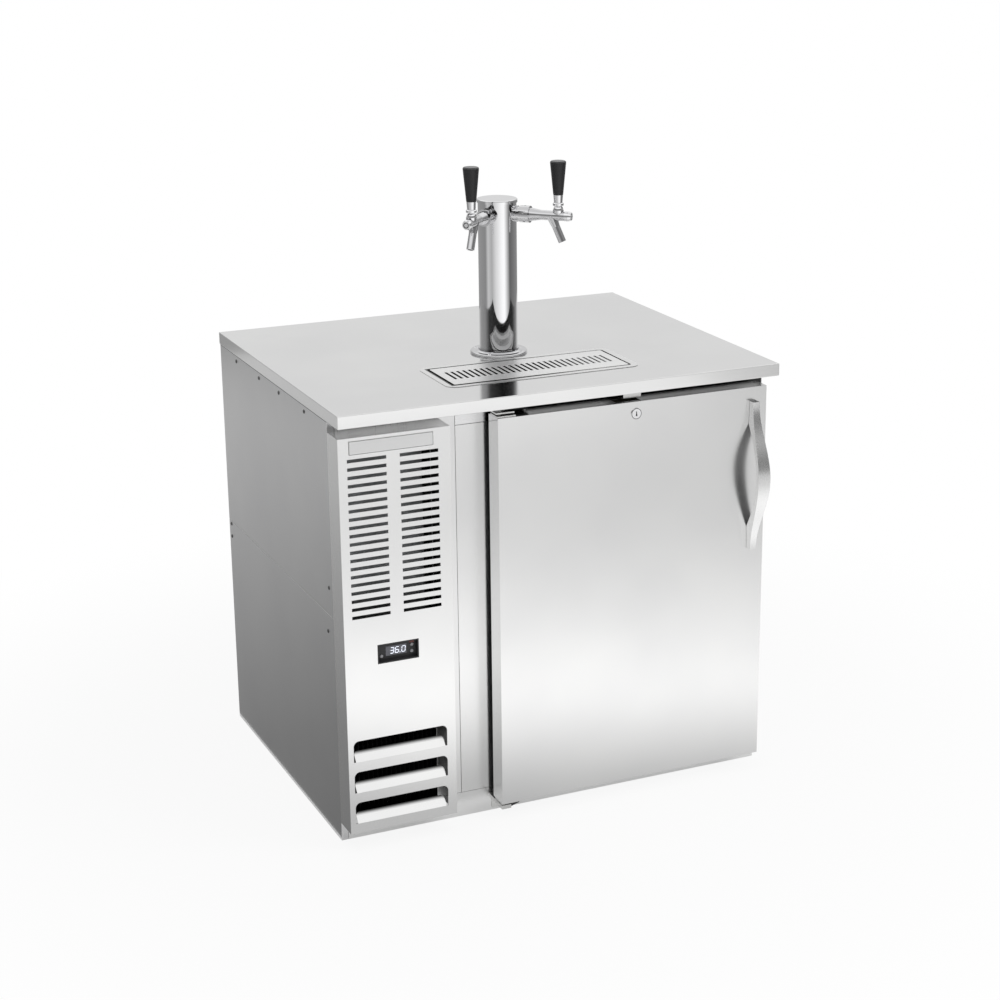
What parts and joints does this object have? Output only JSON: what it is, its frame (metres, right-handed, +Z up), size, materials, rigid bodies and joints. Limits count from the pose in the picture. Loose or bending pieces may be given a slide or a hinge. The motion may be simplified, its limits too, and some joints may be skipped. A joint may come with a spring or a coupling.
{
  "type": "draft beer dispenser",
  "caption": "Stainless undercounter keg cooler with a hinged door, louvred machine cover, digital controller, drip tray and a chrome tower with pull-handle faucets.",
  "frame": {"origin": "on the floor under the middle of the worktop", "axes": "+Z up, -Y out of the door side, +X to the right seen from the front"},
  "size_m": [0.9144, 0.7821, 1.253],
  "materials": {
    "stainless": "fine brushed grain",
    "galvanised": "satin zinc coat",
    "foam": "rigid foam",
    "plated_steel": "bright zinc plate",
    "chrome": "polished",
    "tap_black": "moulded, satin sheen",
    "control_black": "fine moulded texture",
    "display_glass": "smoked window",
    "machine_black": "semi-gloss black",
    "coil_aluminium": "bare fins",
    "copper": "drawn tube",
    "fan_plastic": "moulded",
    "liner_white": "smooth moulded",
    "gasket_rubber": "matt",
    "hose": "clear hose"
  },
  "bodies": {
    "cabinet": {"worktop": "stainless", "drip_tray": "stainless", "side_left_upper": "stainless", "side_left_lower": "stainless", "side_right": "stainless", "rear_panel": "galvanised", "base_pan": "galvanised", "top_rail": "stainless", "bay_frame": "stainless", "hinge_stile": "stainless", "base_rail": "stainless", "insulation": "foam", "inner_liner": "galvanised", "keg_floor": "stainless", "machine_cover": "stainless", "case_screws": "plated_steel", "cord_gland": "control_black", "controller_case": "control_black", "display_window": "display_glass", "compressor": "machine_black", "condenser_coil": "coil_aluminium", "fan_shroud": "control_black", "fan_motors": "machine_black", "evaporator_coil": "coil_aluminium", "evaporator_cover": "galvanised", "copper_lines": "copper", "hinge_brackets": "plated_steel", "lock_strike": "plated_steel", "tower_flange": "chrome", "tower_column": "chrome", "tower_cap": "chrome", "shanks": "chrome", "shank_nuts": "chrome", "coupling_nuts": "chrome", "faucet_left": "chrome", "faucet_right": "chrome", "bonnets": "chrome", "faucet_plugs": "chrome", "beer_lines": "hose"},
    "door": {"door_skin": "stainless", "door_foam": "foam", "door_liner": "liner_white", "door_gasket": "gasket_rubber", "door_handle": "stainless", "hinge_plates": "plated_steel", "lock_body": "chrome"},
    "lock_core": {"lock_plug": "chrome", "lock_cam": "plated_steel"},
    "tap_left": {"lever_left": "chrome", "tap_handle_left": "tap_black"},
    "tap_right": {"lever_right": "chrome", "tap_handle_right": "tap_black"},
    "valve_stem_left": {"valve_left": "chrome"},
    "valve_stem_right": {"valve_right": "chrome"},
    "grate": {"drip_grate": "stainless"},
    "condenser_rotor": {"condenser_fan": "fan_plastic"},
    "evaporator_rotor": {"evaporator_fan": "fan_plastic"},
    "set_key": {"button_set": "control_black"},
    "up_key": {"button_up": "control_black"},
    "down_key": {"button_down": "control_black"}
  },
  "joints": [
    {"name": "door_hinge", "type": "hinge", "parent": "cabinet", "child": "door", "pos_m": [-0.1314, -0.3401, 0.429], "axis": [0, 0, -1], "range_deg": [0, 105]},
    {"name": "lock_turn", "type": "hinge", "parent": "door", "child": "lock_core", "pos_m": [0.1466, -0.3601, 0.7979], "axis": [0, 1, 0], "range_deg": [0, 90]},
    {"name": "tap_left_pull", "type": "hinge", "parent": "cabinet", "child": "tap_left", "pos_m": [-0.09136, -0.12822, 1.1576], "axis": [0.6947, -0.7193, 0], "range_deg": [0, 38]},
    {"name": "tap_right_pull", "type": "hinge", "parent": "cabinet", "child": "tap_right", "pos_m": [0.09136, -0.12822, 1.1576], "axis": [0.6947, 0.7193, 0], "range_deg": [0, 38]},
    {"name": "valve_left_slide", "type": "slide", "parent": "cabinet", "child": "valve_stem_left", "axis": [0.7193, 0.6947, 0], "range_m": [0, 0.009]},
    {"name": "valve_right_slide", "type": "slide", "parent": "cabinet", "child": "valve_stem_right", "axis": [-0.7193, 0.6947, 0], "range_m": [0, 0.009]},
    {"name": "grate_lift", "type": "slide", "parent": "cabinet", "child": "grate", "axis": [0, 0, 1], "range_m": [0, 0.15]},
    {"name": "condenser_fan_spin", "type": "hinge", "parent": "cabinet", "child": "condenser_rotor", "pos_m": [-0.3303, -0.2455, 0.112], "axis": [0, 1, 0], "continuous": true},
    {"name": "evaporator_fan_spin", "type": "hinge", "parent": "cabinet", "child": "evaporator_rotor", "pos_m": [0.1462, 0.2062, 0.6861], "axis": [0, 1, 0], "continuous": true},
    {"name": "set_press", "type": "slide", "parent": "cabinet", "child": "set_key", "axis": [0, 1, 0], "range_m": [0, 0.0008], "stiffness_N_per_m": 400},
    {"name": "up_press", "type": "slide", "parent": "cabinet", "child": "up_key", "axis": [0, 1, 0], "range_m": [0, 0.0008], "stiffness_N_per_m": 400},
    {"name": "down_press", "type": "slide", "parent": "cabinet", "child": "down_key", "axis": [0, 1, 0], "range_m": [0, 0.0008], "stiffness_N_per_m": 400}
  ],
  "couplings": [
    {"joint": "valve_left_slide", "follows": "tap_left_pull", "m_per_rad": 0.0135},
    {"joint": "valve_right_slide", "follows": "tap_right_pull", "m_per_rad": 0.0135}
  ]
}
